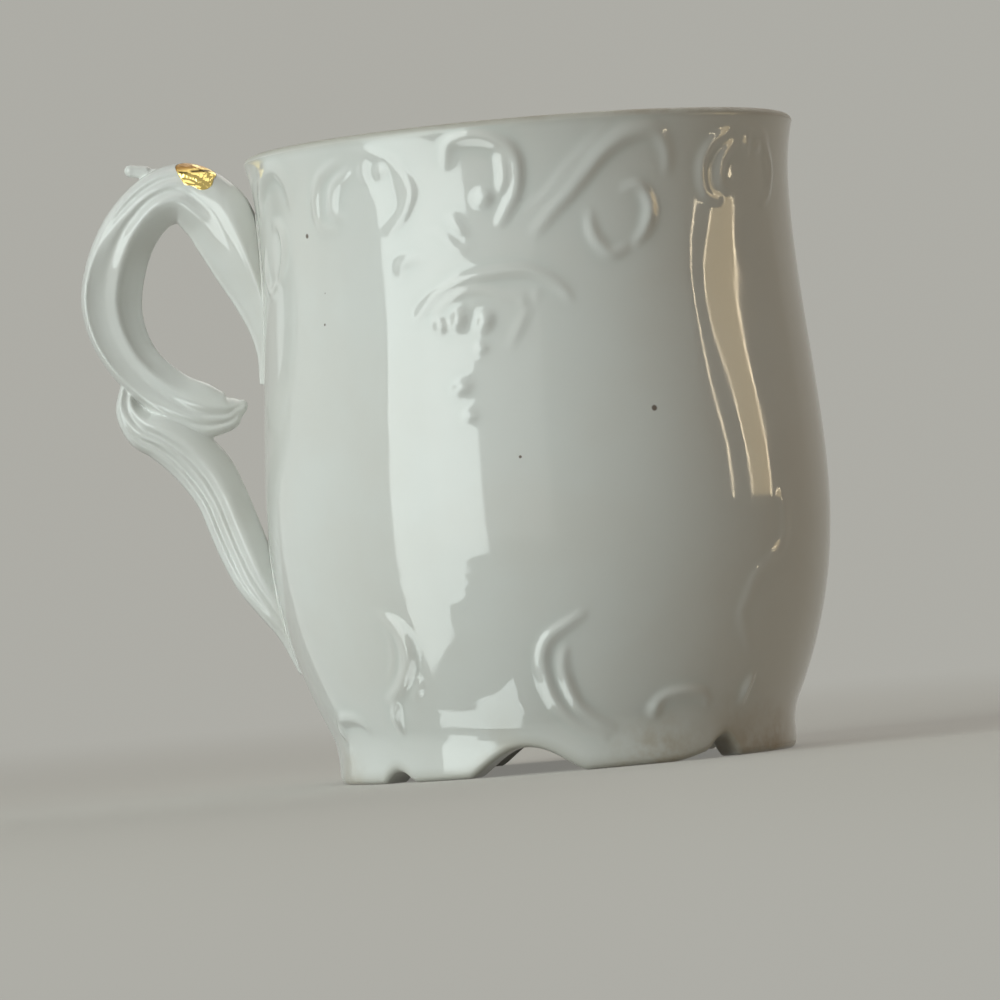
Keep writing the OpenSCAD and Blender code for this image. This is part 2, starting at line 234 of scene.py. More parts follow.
MIDDLE_STROKES = [
    # leaf: ridge with a steep right side, and a faint second fold
    (STEM, 0.6, 0.38, 2.4),
    ([(4.1, 53), (8.7, 54.6), (12.9, 56.7), (17.2, 58.7), (20.8, 60.4)], 0.6, 0.16, 1),
    # large volute: outer turn, inner curl, leaf and lower tip
    ([(-12.7, 58.4), (-11.9, 60), (-8.6, 60.6), (-5, 60.6), (-2, 60.1), (0.7, 59.3), (2.1, 57.9),
      (2.1, 56.2), (1.3, 54.7), (-0.4, 53.4), (-2, 52.2)], 0.65, 0.5, -1),
    ([(-1.5, 59), (-0.8, 57.6), (-0.8, 56.3), (-1.8, 55)], 0.65, 0.45, 0),
    ([(-12.9, 53.2), (-11.3, 52.3), (-9.7, 51.4)], 0.55, 0.4, 0),
    ([(-16.6, 52), (-14, 51.2), (-11.8, 50.1), (-8.7, 50.3)], 0.6, 0.22, 0),
    # crest with its comma, second line and side leaf
    ([(-24.4, 48.3), (-24.5, 49.2), (-22.6, 49.5), (-19.9, 49.4)], 0.55, 0.38, 0),
    ([(-21.2, 44.2), (-19, 45.4), (-15.8, 46.4), (-12.1, 47.2), (-8.7, 47.5), (-4.8, 47.7), (-0.9, 47.8),
      (2.9, 47.6), (5.2, 47.1), (7.3, 46.5), (9.4, 45.6), (10.6, 44.7)], 0.6, 0.42, -0.8),
    ([(-18.2, 43.4), (-16.5, 44.7), (-13.4, 45.6), (-10.3, 46.1), (-6.5, 46), (-2.8, 45.3),
      (1, 45.2)], 0.5, 0.28, 0),
    ([(1.7, 43.9), (-0.5, 42), (-2.6, 40.3)], 0.6, 0.18, 0),
    # lower scroll on the left: ridge, inner line and curl
    ([(-36.4, 16.4), (-32.9, 15.2), (-31, 13.3), (-31.7, 11.2), (-35.2, 9.2),
      (-40.4, 7.8)], 0.7, 0.42, -1.2),
    ([(-36.2, 15.2), (-35.2, 13.4), (-36.2, 11.4), (-39.4, 9.8)], 0.4, 0.2, 0),
    ([(-33.6, 8.1), (-30.7, 9.2), (-30.5, 10.1)], 0.45, 0.2, 0),
    # lower scroll on the right: two ridges that close in a point
    ([(7.7, 14.8), (4.3, 13.9), (0.3, 12.7), (-1.4, 11), (-1, 8.8), (0.9, 6.5), (5.1, 4.5),
      (11.8, 3.1)], 0.85, 0.46, 0),
    ([(3.5, 11.7), (2.7, 10), (3.7, 7.9), (5.8, 6), (9.5, 4.7), (13.7, 3.8)], 0.65, 0.5, 0.3),
]

# Panels opposite the handle and behind it: the end of the leaf, and the edge of a broad leaf by the crease
SIDE_PANEL_STROKES = [
    (STEM[3:], 0.6, 0.38, 2.4),
    ([(-34, 24.8), (-33.5, 21), (-37.2, 18.8), (-42.3, 17.2), (-44.9, 14.9), (-46, 13.3),
      (-42.4, 10.3)], 0.5, 0.18, 2.5),
]

# Beads of a panel: angle, height, half width, half height, lean of its long axis, rise
SIDE_BEADS = [
    (-27.3, 58.2, 0.7, 0.55, 0, 0.3),
    (-31, 56.4, 0.4, 0.25, 0, 0.15),
    (23.9, 5.2, 0.9, 0.9, 0, 0.45),
]
MIDDLE_BEADS = [
    (-5.2, 54.7, 0.95, 0.95, 0, 0.5),
    (-19.3, 44.9, 0.6, 1.5, -55, 0.3),
    (-16.3, 43, 0.8, 0.9, 0, 0.4),
    (-12.5, 43.4, 0.95, 1.3, -20, 0.5),
    (-7, 43, 0.9, 1.3, -25, 0.5),
    (-8.1, 40.5, 0.6, 0.6, 0, 0.42),
    (0.9, 44.6, 0.45, 0.45, 0, 0.28),
    (3.8, 45.1, 0.4, 0.4, 0, 0.2),
    (-12.6, 37, 1.3, 0.85, 20, 0.42),
    (-11.3, 34.3, 0.9, 0.7, 0, 0.36),
]
BEAD_ROUNDNESS = 1.2

# Length of a degree on the wall, unrolled at one radius for its scrolls
UNROLLED_R = 26.6
ARC = math.radians(1) * UNROLLED_R
FILLET_PASSES = 2
STROKE_STEPS = 6
STROKE_MARGIN = 0.1
# Width and rise at a stroke's ends against its middle, how fast they swell, and how far an end reaches
END_WIDTH = 0.5
END_RISE = 0.35
SWELL = 0.6
END_REACH = 0.02


def stroke_height(x, y, line, half_width, rise, lean):
    """Height of one ridge over points of the unrolled wall."""
    points = spline(line, STROKE_STEPS) * [ARC, 1]
    reach = half_width * (1 + abs(lean)) + STROKE_MARGIN
    near = ((x > points[:, 0].min() - reach) & (x < points[:, 0].max() + reach)
            & (y > points[:, 1].min() - reach) & (y < points[:, 1].max() + reach))
    px, py = x[near], y[near]
    best = np.full(px.shape, np.inf)
    share = np.zeros(px.shape)
    side = np.zeros(px.shape)
    steps = np.diff(points, axis=0)
    run = np.hypot(steps[:, 0], steps[:, 1])
    start = np.concatenate([[0], np.cumsum(run)])
    for (ax, ay), (dx, dy), length, begin in zip(points, steps, run, start):
        t = np.clip(((px - ax) * dx + (py - ay) * dy) / length**2, 0, 1)
        ex, ey = px - ax - t * dx, py - ay - t * dy
        gap = np.hypot(ex, ey)
        closer = gap < best
        best = np.where(closer, gap, best)
        share = np.where(closer, (begin + t * length) / start[-1], share)
        side = np.where(closer, np.sign(dx * ey - dy * ex), side)
    swell = np.clip(np.sin(math.pi * np.clip(share, END_REACH, 1 - END_REACH)), 0, 1) ** SWELL
    spread = np.where(side * lean > 0, 1 + abs(lean), 1)
    width = half_width * spread * mix(END_WIDTH, 1, swell)
    height = np.zeros(x.shape)
    height[near] = rise * mix(END_RISE, 1, swell) * np.clip(1 - (best / width) ** 2, 0, None) ** 2
    return height


def bead_height(x, y, angle, level, half_width, half_height, tilt, rise):
    """Height of one low dome over points of the unrolled wall."""
    c, s = math.cos(math.radians(tilt)), math.sin(math.radians(tilt))
    dx, dy = x - angle * ARC, y - level
    across = (dx * c + dy * s) / half_width
    along = (dy * c - dx * s) / half_height
    return rise * np.clip(1 - across**2 - along**2, 0, None) ** BEAD_ROUNDNESS


def softened(field):
    """Field of rows and columns with its edges rounded, as glaze rounds them."""
    for _ in range(FILLET_PASSES):
        padded = np.vstack([field[:1], field, field[-1:]])
        field = (padded[:-2] + 2 * padded[1:-1] + padded[2:]) / 4
        field = (np.roll(field, 1, 1) + 2 * field + np.roll(field, -1, 1)) / 4
    return field


def relief(phi, z):
    """Height of all scrolls over the wall."""
    height = np.zeros(phi.shape)
    for panel in range(PANELS):
        local = (phi - panel * PANEL_SPAN + 180) % 360 - 180
        x = local * ARC
        on_side = panel % 2 == 1
        strokes = SIDE_STROKES + (SIDE_PANEL_STROKES if on_side else MIDDLE_STROKES)
        beads = SIDE_BEADS + ([] if on_side else MIDDLE_BEADS)
        for stroke in strokes:
            height = np.maximum(height, stroke_height(x, z, *stroke))
        for bead in beads:
            height = np.maximum(height, bead_height(x, z, *bead))
    return softened(height)


# Slight waves of a cast and glazed wall: turns of each round the cup, and height
WAVES = [(2, 0.03), (3, 0.026), (5, 0.01), (8, 0.005), (13, 0.003), (17, 0.0022), (23, 0.0014), (31, 0.0009)]
WAVE_SEED = 11
WAVE_TILT_R = 26
# Closer ripples low on the belly and on the skirt: height, level and spread
RIPPLES = [(0.006, 19, 4), (0.012, 5, 2.2)]
RIPPLE_LENGTH = 2.7
RIPPLE_SLANT = 0.3
RIPPLE_BEND = 9
# Height over which all waves fade out at the foot and at the lip
CALM_FOOT = 3
CALM_LIP = 6


def unevenness(phi, z):
    """Waves of the wall, with closer ripples low down, gone at the foot and the lip."""
    rng = np.random.default_rng(WAVE_SEED)
    waves = np.zeros(phi.shape)
    for turns, rise in WAVES:
        for _ in range(2):
            tilt = rng.uniform(-1, 1) * turns / WAVE_TILT_R
            lag = rng.uniform(0, 2 * math.pi)
            waves += rise * np.sin(np.radians(phi) * turns + z * tilt + lag)
    phase = 2 * math.pi / RIPPLE_LENGTH * (z + RIPPLE_SLANT * panel_angle(phi) * ARC)
    ripple = np.sin(phase + RIPPLE_BEND * waves)
    for rise, level, spread in RIPPLES:
        waves = waves + rise * ripple * np.exp(-((z - level) / spread) ** 2)
    return waves * ease(z / CALM_FOOT) * ease((LIP_HEIGHT - z) / CALM_LIP)


def wall_surface(phi, z):
    """Radius of the wall as cast, before the scrolls."""
    return skin_radius(phi, z) + unevenness(phi, z)


def ring(r, z, turn):
    """Points round the axis at a radius and a height."""
    return np.stack([r * np.sin(turn), -r * np.cos(turn), z + np.zeros(turn.shape)], axis=1)


def quads(rings, around, first=0):
    """Faces between closed rings of points, whose numbers run on from ring to ring."""
    column = np.arange(around)
    start = first + around * np.arange(rings - 1)[:, None]
    a, b = start + column, start + (column + 1) % around
    return np.stack([a, b, b + around, a + around], axis=2).reshape(-1, 4).tolist()


def fan(middle, first, around):
    """Triangles from a middle point to a closed ring."""
    return [[middle, first + c, first + (c + 1) % around] for c in range(around)]


def flipped(faces):
    """Faces that look the other way."""
    return [face[:1] + face[:0:-1] for face in faces]


def mesh_object(name, points, faces, smooth=True):
    """Object of points and faces, in the scene."""
    mesh = bpy.data.meshes.new(name)
    mesh.from_pydata(np.asarray(points, float).tolist(), [], faces)
    mesh.validate()
    if smooth:
        mesh.shade_smooth()
    obj = bpy.data.objects.new(name, mesh)
    bpy.context.scene.collection.objects.link(obj)
    return obj


def point_values(obj, name, values):
    """Value at each point of a mesh, for its material to read."""
    layer = obj.data.attributes.new(name, "FLOAT", "POINT")
    layer.data.foreach_set("value", np.asarray(values, np.float32))


def recess_rows(lift):
    """Radius and height of the recess under the foot, from its middle to the foot ring."""
    rows = []
    for share in np.linspace(1 / RECESS_RINGS, 1, RECESS_RINGS):
        rows.append((share * (RECESS_TOP_R - RECESS_CORNER), RECESS_DEPTH))
    for a in arc(30, 90, 30):
        r = RECESS_TOP_R - RECESS_CORNER * (1 - math.sin(a))
        rows.append((r, RECESS_DEPTH - RECESS_CORNER * (1 - math.cos(a))))
    for share in QUARTERS:
        r = mix(RECESS_TOP_R, RECESS_R, share)
        rows.append((r, mix(RECESS_DEPTH - RECESS_CORNER, lift + FOOT_INNER_ROUND, share)))
    return rows


def foot_rows(phi, lift):
    """Foot ring with its two rounded edges."""
    rows = []
    for a in arc(0, 90, 30):
        r = RECESS_R + FOOT_INNER_ROUND * (1 - math.cos(a))
        rows.append((r, lift + FOOT_INNER_ROUND * (1 - math.sin(a))))
    edge = wall_surface(phi, lift + FOOT_ROUND)
    for a in arc(-90, -18, 18):
        rows.append((edge - FOOT_ROUND * (1 - math.cos(a)), lift + FOOT_ROUND * (1 + math.sin(a))))
    return rows


def outer_wall(phi):
    """Radius and height of the outer wall, row by row, and the height of the scrolls on it."""
    levels = np.linspace(FOOT_ROUND, LIP_HEIGHT, WALL_ROWS)
    angle = np.tile(phi, (WALL_ROWS, 1))
    z = lifted(angle, levels[:, None])
    scrolls = relief(angle, z)
    return wall_surface(angle, z) + scrolls, z, scrolls


def lip_rows(outer):
    """Lip's rounding, from the outer wall's radius to the inside."""
    inner = RIM_R - LIP
    half = (outer - inner) / 2
    rows = []
    for a in arc(15, 180, 15):
        rows.append((inner + half * (1 + math.cos(a)), LIP_HEIGHT + LIP_ROUND * math.sin(a)))
    return rows


def inside_rows():
    """Inside of the wall, its round corner and the floor."""
    rows = []
    for level in np.linspace(LIP_HEIGHT, FLOOR_HEIGHT + FLOOR_CORNER, INSIDE_ROWS)[1:]:
        thickness = mix(WALL, LIP, ease((level - NECK_HEIGHT) / (LIP_HEIGHT - NECK_HEIGHT)))
        rows.append((wall_radius(level) - thickness, level))
    corner_r = rows[-1][0] - FLOOR_CORNER
    for a in arc(80, 0, -10):
        rows.append((corner_r + FLOOR_CORNER * math.sin(a), FLOOR_HEIGHT + FLOOR_CORNER * (1 - math.cos(a))))
    for share in reversed(QUARTERS):
        rows.append((corner_r * share, FLOOR_HEIGHT))
    return rows


# Glaze gathered beside the ridges: how widely, and the depth at which it is full
POOL_PASSES = 8
POOL_DEPTH = 0.12
# Stained stretches of the foot and of the lip: angle, half width and strength
STAIN_RISE = 5.4
FOOT_STAINS = [(25, 10, 0.9), (60, 14, 1), (-15, 7, 0.25), (128, 9, 0.5), (171, 12, 0.6), (222, 10, 0.4),
               (291, 8, 0.5)]
LIP_STAINS = [(45, 40, 0.9), (150, 30, 0.6), (250, 25, 0.7)]
# How far the glaze is worn dull below the lip and above the foot's edge, and how much at the foot
LIP_WEAR = 0.5
FOOT_WEAR = 1.5
FOOT_WEAR_SHARE = 0.7


def patches(phi, stretches):
    """Strength of stains round the cup."""
    total = np.zeros(phi.shape)
    for angle, half_width, strength in stretches:
        off = (phi - angle + 180) % 360 - 180
        total = np.maximum(total, strength * np.exp(-(off / half_width) ** 2))
    return total


def mark_pools(body, wall, scrolls):
    """Glaze that gathers beside the ridges of the wall's points."""
    wide = scrolls
    for _ in range(POOL_PASSES):
        wide = softened(wide)
    pool = np.zeros(len(body.data.vertices))
    pool[wall] = np.clip((wide - scrolls) / POOL_DEPTH, 0, 1).ravel()
    point_values(body, "pool", pool)


def mark_wear(body, height, around, lift, outside):
    """Stains and wear along the lip, and along the foot on the outside's points."""
    above = height - lift
    stain = np.zeros(height.shape)
    stain[outside] = np.clip(1 - above / STAIN_RISE, 0, 1)[outside]
    point_values(body, "stain", stain * patches(around, FOOT_STAINS))
    lip = np.clip((height - LIP_HEIGHT) / LIP_ROUND, 0, 1)
    point_values(body, "lip", lip * patches(around, LIP_STAINS))
    worn = ease((height - LIP_HEIGHT + LIP_WEAR) / (LIP_ROUND + LIP_WEAR))
    worn[outside] += FOOT_WEAR_SHARE * ease(1 - above / FOOT_WEAR)[outside]
    point_values(body, "worn", worn)


def build_body():
    """Body's skin in one sheet, from the recess under the foot over the lip to the inside floor."""
    phi = np.arange(COLUMNS) * 360 / COLUMNS
    lift = foot_lift(phi)
    r, z, scrolls = outer_wall(phi)
    recess = recess_rows(lift)
    lower = recess + foot_rows(phi, lift)
    rows = lower + list(zip(r, z)) + lip_rows(r[-1]) + inside_rows()
    turn = np.radians(phi)
    middles = [[0, 0, RECESS_DEPTH], [0, 0, FLOOR_HEIGHT]]
    points = np.vstack([*[ring(*row, turn) for row in rows], middles])
    under, floor = len(points) - 2, len(points) - 1
    faces = quads(len(rows), COLUMNS) + flipped(fan(under, 0, COLUMNS))
    faces += fan(floor, (len(rows) - 1) * COLUMNS, COLUMNS)
    body = mesh_object("porcelain_body", points * MM, faces)
    wall = slice(len(lower) * COLUMNS, (len(lower) + WALL_ROWS) * COLUMNS)
    mark_pools(body, wall, scrolls)
    around = np.append(np.tile(phi, len(rows)), [0, 0])
    lifts = np.append(np.tile(lift, len(rows)), [0, 0])
    mark_wear(body, points[:, 2], around, lifts, slice(len(recess) * COLUMNS, wall.stop))
    return body


# Handle: rows of reach out from the wall, height, thickness and width as shares, level of the edge beads
# in the section, depth of the trough along the crown, and shares of the root's and the fluted section
HANDLE_REACH = 18.2
TAIL_HEIGHT = 11.2
THUMB_HEIGHT = CUP_HEIGHT + 0.3
STRAP_WIDTH = 8
STRAP_THICKNESS = 6
ROOT_CLEARANCE = 0.02
LOOP_ROWS = [
    [-0.025, 0.56, 0.3, 0.25, -0.1, 0, 1, 0],
    [-0.022, 0.615, 0.35, 0.38, -0.14, 0, 1, 0],
    [0, 0.67, 0.5, 0.6, -0.2, 0.1, 1, 0],
    [0.05, 0.73, 0.7, 0.8, -0.24, 0.25, 1, 0],
    [0.11, 0.79, 0.92, 0.95, -0.22, 0.35, 1, 0],
    [0.165, 0.85, 1.1, 1, -0.18, 0.3, 0.9, 0.05],
    [0.23, 0.905, 1.16, 1, -0.14, 0.2, 0.7, 0.25],
    [0.37, 0.942, 1.03, 0.95, -0.14, 0.05, 0.4, 0.7],
    [0.54, 0.928, 0.92, 0.88, -0.24, 0, 0.1, 0.85],
    [0.69, 0.88, 0.94, 0.84, -0.34, 0, 0, 0.6],
    [0.785, 0.816, 0.99, 0.82, -0.38, 0, 0, 0.2],
    [0.825, 0.744, 1, 0.82, -0.38, 0, 0, 0],
    [0.785, 0.675, 0.92, 0.8, -0.38, 0, 0, 0],
    [0.68, 0.612, 0.84, 0.76, -0.36, 0, 0, 0.1],
    [0.51, 0.556, 0.84, 0.7, -0.34, 0, 0, 0.5],
    [0.34, 0.522, 0.9, 0.6, -0.3, 0, 0, 0.9],
    [0.21, 0.514, 0.66, 0.46, -0.2, 0, 0, 1],
    [0.145, 0.52, 0.36, 0.3, -0.1, 0, 0, 0.6],
    [0.1, 0.5235, 0.14, 0.15, 0, 0, 0, 0],
]
LIMB_ROWS = [
    [0.735, 0.595, 0.2, 0.4, -0.2, 0, 0, 0],
    [0.735, 0.538, 0.47, 0.62, -0.24, 0, 0, 0.3],
    [0.655, 0.499, 0.72, 0.7, -0.27, 0, 0, 0.8],
    [0.55, 0.48, 0.84, 0.74, -0.28, 0, 0, 1],
    [0.43, 0.448, 0.9, 0.74, -0.28, 0, 0, 1],
    [0.312, 0.4, 0.9, 0.7, -0.28, 0, 0, 1],
    [0.236, 0.35, 0.84, 0.66, -0.28, 0, 0, 1],
    [0.185, 0.298, 0.84, 0.66, -0.28, 0, 0, 1],
    [0.137, 0.243, 0.82, 0.68, -0.28, 0, 0, 1],
    [0.092, 0.19, 0.76, 0.7, -0.24, 0, 0, 0.8],
    [0.035, 0.134, 0.6, 0.62, -0.2, 0, 0.5, 0.5],
    [-0.002, 0.074, 0.34, 0.42, -0.1, 0, 1, 0],
    [-0.01, 0, 0.16, 0.2, 0, 0, 1, 0],
]
RINGS_PER_ROW = 7
SECTION_STEPS = 4
# Sides of the strap's section from its edge bead to the crown or to the inner face: share of the width,
# and of the way there
CROWN = [(0.14, 0.93), (0.26, 0.8), (0.42, 0.35), (0.5, 0)]
LOOP_FLANK = [(0.465, 0.08), (0.42, 0.2), (0.39, 0.34), (0.385, 0.47), (0.38, 0.56), (0.34, 0.61),
              (0.26, 0.67), (0.17, 0.77), (0.08, 0.9), (0, 1)]
ROOT_FLANK = [(0.48, 0.1), (0.45, 0.2), (0.415, 0.3), (0.38, 0.4), (0.34, 0.5), (0.3, 0.6), (0.25, 0.71),
              (0.185, 0.83), (0.1, 0.95), (0, 1)]
CROWN_LEVEL = -0.5
INNER_LEVEL = 0.5
TROUGH_DEPTH = 0.4
# Half section of the lower limb: two flutes on its near face, which looks outwards
LIMB_HALF = np.array([
    [0, -0.5], [0.14, -0.48], [0.25, -0.42], [0.315, -0.34], [0.285, -0.265], [0.37, -0.2], [0.41, -0.13],
    [0.375, -0.055], [0.45, 0.02], [0.5, 0.1], [0.47, 0.19], [0.37, 0.3], [0.23, 0.41], [0.11, 0.48],
    [0, 0.5],
])
KNOB_RADIUS = 0.65
KNOB_STEM = [0.5, 0.932]
KNOB_STEM_RISE = 0.46
KNOB_OFFSET = np.array([-2.73, 0, 0.46])
# Balls of the knob's stem: their number, radius near the strap and near the knob, and where it changes
STEM_BALLS = 12
STEM_THIN = 0.7
STEM_THICK = 0.95
STEM_CHANGE = 0.45
SPUR_TIP = [0.12, 0.525]
SPUR_RADIUS = KNOB_RADIUS * 0.9
BALL_AROUND = 20
BALL_ROWS = 12
VOXEL = 0.11
HANDLE_SMOOTHING = 4
SMOOTHING_FACTOR = 0.5
CUTTER_COLUMNS = 480
CUTTER_ROWS = 160


def handle_point(row):
    """Place of a row's reach and height on the handle's line."""
    z = mix(TAIL_HEIGHT, THUMB_HEIGHT, row[1])
    return np.array([-wall_radius(z) - row[0] * HANDLE_REACH, 0, z])


def half_section(edge, trough, flank):
    """Half section of the strap: trough or crown, edge bead, and a flank down to the inner face."""
    crown = [[wide, mix(edge, CROWN_LEVEL, share)] for wide, share in CROWN]
    side = [[wide, mix(edge, INNER_LEVEL, share)] for wide, share in flank]
    return np.array([[0, CROWN_LEVEL + trough * TROUGH_DEPTH]] + crown + side)


def closed_section(half):
    """Smooth closed section of the strap from its half: share of the width and of the thickness."""
    outline = np.vstack([half, half[-2:0:-1] * [-1, 1]])
    closed = np.vstack([outline[-1:], outline, outline[:2]])
    return spline(closed, SECTION_STEPS)[SECTION_STEPS:-SECTION_STEPS - 1]


def strap_section(edge, trough, root, fluted):
    """Section of the strap, with the inner side positive, blended from its three kinds."""
    plain = mix(half_section(edge, trough, LOOP_FLANK), half_section(edge, trough, ROOT_FLANK), root)
    return closed_section(mix(plain, LIMB_HALF, fluted))


def sweep(rows):
    """Points and faces of a strap swept along its rows, closed at both ends."""
    path = spline(rows, RINGS_PER_ROW)
    line = np.array([handle_point(row) for row in path])
    ahead = np.gradient(line, axis=0)
    rings = []
    for row, place, along in zip(path, line, ahead):
        along = along / np.linalg.norm(along)
        inward = np.array([-along[2], 0, along[0]])
        section = strap_section(*row[4:])
        rings.append(place + np.outer(section[:, 1] * STRAP_THICKNESS * row[2], inward)
                     + np.outer(section[:, 0] * STRAP_WIDTH * row[3], [0, 1, 0]))
    n = len(rings[0])
    points = np.vstack([*rings, [rings[0].mean(axis=0)], [rings[-1].mean(axis=0)]])
    first, end = len(points) - 2, len(points) - 1
    last = (len(rings) - 1) * n
    return points, flipped(quads(len(rings), n)) + fan(first, 0, n) + flipped(fan(end, last, n))


def ball(centre, radius):
    """Points and faces of a ball."""
    turn = np.arange(BALL_AROUND) * 2 * math.pi / BALL_AROUND
    rings = []
    for i in range(1, BALL_ROWS):
        a = math.pi * (i / BALL_ROWS - 0.5)
        level = np.full(BALL_AROUND, math.sin(a))
        rings.append(np.stack([math.cos(a) * np.cos(turn), math.cos(a) * np.sin(turn), level], axis=1))
    points = centre + radius * np.vstack([[[0, 0, -1]], *rings, [[0, 0, 1]]])
    top = len(points) - 1
    faces = flipped(fan(0, 1, BALL_AROUND)) + quads(BALL_ROWS - 1, BALL_AROUND, 1)
    return points, faces + fan(top, top - BALL_AROUND, BALL_AROUND)


def knob():
    """Small bead on a short stem that grows out of the strap's crown."""
    root = handle_point(KNOB_STEM) + [0, 0, KNOB_STEM_RISE * STRAP_THICKNESS]
    balls = []
    for f in np.linspace(0, 1, STEM_BALLS):
        share = STEM_THICK if f > STEM_CHANGE else STEM_THIN
        balls.append(ball(root + KNOB_OFFSET * f, KNOB_RADIUS * share))
    return [*balls, ball(root + KNOB_OFFSET, KNOB_RADIUS)]


def joined(shells):
    """Points and faces of several closed shells as one list."""
    points, faces, base = [], [], 0
    for shell_points, shell_faces in shells:
        points.append(shell_points)
        faces += [[base + i for i in face] for face in shell_faces]
        base += len(shell_points)
    return np.vstack(points), faces


def applied(obj):
    """Object whose modifiers are made real in its mesh."""
    bpy.context.view_layer.update()
    mesh = bpy.data.meshes.new_from_object(obj.evaluated_get(bpy.context.evaluated_depsgraph_get()))
    old = obj.data
    obj.modifiers.clear()
    obj.data = mesh
    mesh.name = obj.name
    bpy.data.meshes.remove(old)
    return obj


def fused(obj, voxel, smoothing):
    """Closed shells run together into one skin with soft hollows, as slip and glaze leave them."""
    remesh = obj.modifiers.new("fuse", "REMESH")
    remesh.mode = "VOXEL"
    remesh.voxel_size = voxel
    smooth = obj.modifiers.new("soften", "SMOOTH")
    smooth.factor = SMOOTHING_FACTOR
    smooth.iterations = smoothing
    return applied(obj)


def wall_cutter(grow, low=0, high=LIP_HEIGHT):
    """Closed solid of the wall grown outwards, between two heights, in millimetres."""
    phi = np.arange(CUTTER_COLUMNS) * 360 / CUTTER_COLUMNS
    rings = []
    for z in np.linspace(low, high, CUTTER_ROWS):
        r = wall_surface(phi, np.full(CUTTER_COLUMNS, z)) + grow
        rings.append(ring(r, z, np.radians(phi)))
    bottom = list(range(CUTTER_COLUMNS))
    top = [(CUTTER_ROWS - 1) * CUTTER_COLUMNS + c for c in bottom]
    faces = [bottom[::-1]] + quads(CUTTER_ROWS, CUTTER_COLUMNS) + [top]
    return mesh_object("wall_cutter", np.vstack(rings), faces)


def cut_by_wall(obj, operation, cutter):
    """Object cut by a wall cutter, which is used up."""
    cut = obj.modifiers.new("seat", "BOOLEAN")
    cut.operation = operation
    cut.solver = "MANIFOLD"
    cut.object = cutter
    applied(obj)
    bpy.data.objects.remove(cutter)
    return obj


def to_metres(obj):
    """Smooth object, scaled from millimetres."""
    obj.data.transform(Matrix.Scale(MM, 4))
    obj.data.shade_smooth()
    return obj


def build_handle():
    """Handle as it is cast, running on into the wall, in millimetres."""
    tip = ball(handle_point(SPUR_TIP), SPUR_RADIUS)
    shells = [sweep(LOOP_ROWS), sweep(LIMB_ROWS), *knob(), tip]
    handle = mesh_object("scroll_handle", *joined(shells))
    return fused(handle, VOXEL, HANDLE_SMOOTHING)


# Layers of the slip squeezed out round a root: how far each stands out from the root and from the wall
SLIP_LAYERS = [(0.26, 0.05), (0.17, 0.1), (0.09, 0.17)]
SLIP_DEPTH = 0.12
SLIP_VOXEL = 0.07
SLIP_SMOOTHING = 32
# Height between the two roots
ROOTS_PART = 33


def slip_layer(cast, stand_out, reach, low, high):
    """Points and faces of a thin layer on the wall round the cast handle's root."""
    layer = bpy.data.objects.new("slip_layer", cast.data.copy())
    bpy.context.scene.collection.objects.link(layer)
    grow = layer.modifiers.new("grow", "DISPLACE")
    grow.strength = stand_out
    grow.mid_level = 0
    cut_by_wall(layer, "INTERSECT", wall_cutter(reach, low, high))
    cut_by_wall(layer, "DIFFERENCE", wall_cutter(-SLIP_DEPTH))
    points = np.array([v.co for v in layer.data.vertices])
    faces = [list(p.vertices) for p in layer.data.polygons]
    bpy.data.objects.remove(layer)
    return points, faces


def build_slip(name, cast, low, high):
    """Fired slip round a root, its layers run together into a soft fillet."""
    slip = mesh_object(name, *joined([slip_layer(cast, *layer, low, high) for layer in SLIP_LAYERS]))
    return to_metres(fused(slip, SLIP_VOXEL, SLIP_SMOOTHING))


# Worn gold on the near shoulder of the thumb rest: radius of its ragged edge, round its middle
GILT_EDGE = [0.98, 0.84, 0.9, 0.8, 1.05, 1, 1.12, 0.98, 0.86, 0.94, 0.86, 1.06, 1.14, 0.95]
GILT_HALF_LENGTH = 1.95
GILT_HALF_WIDTH = 2.05
GILT_SIDE = -2.3
GILT_DROP = 1.2
GILT_LEAN = 50
GILT_LIFT = 0.05
GILT_RINGS = 14
GILT_AROUND = 84
# Distance from which the gold is laid down on the skin
GILT_DISTANCE = 10


def gilt_edge():
    """Radius of the gold's edge at each step round it."""
    per_span = GILT_AROUND // len(GILT_EDGE)
    closed = [[r] for r in GILT_EDGE[-1:] + GILT_EDGE + GILT_EDGE[:2]]
    return spline(closed, per_span)[per_span:, 0][:GILT_AROUND]


def gilt_faces(n):
    """Faces of the gold's top, of its underside, n points further on, and of the rim between them."""
    faces = fan(0, 1, GILT_AROUND) + flipped(quads(GILT_RINGS, GILT_AROUND, 1))
    faces += flipped(fan(n, n + 1, GILT_AROUND)) + quads(GILT_RINGS, GILT_AROUND, n + 1)
    rim = n - GILT_AROUND
    for j in range(GILT_AROUND):
        a, b = rim + j, rim + (j + 1) % GILT_AROUND
        faces.append([a, n + a, n + b, b])
    return faces


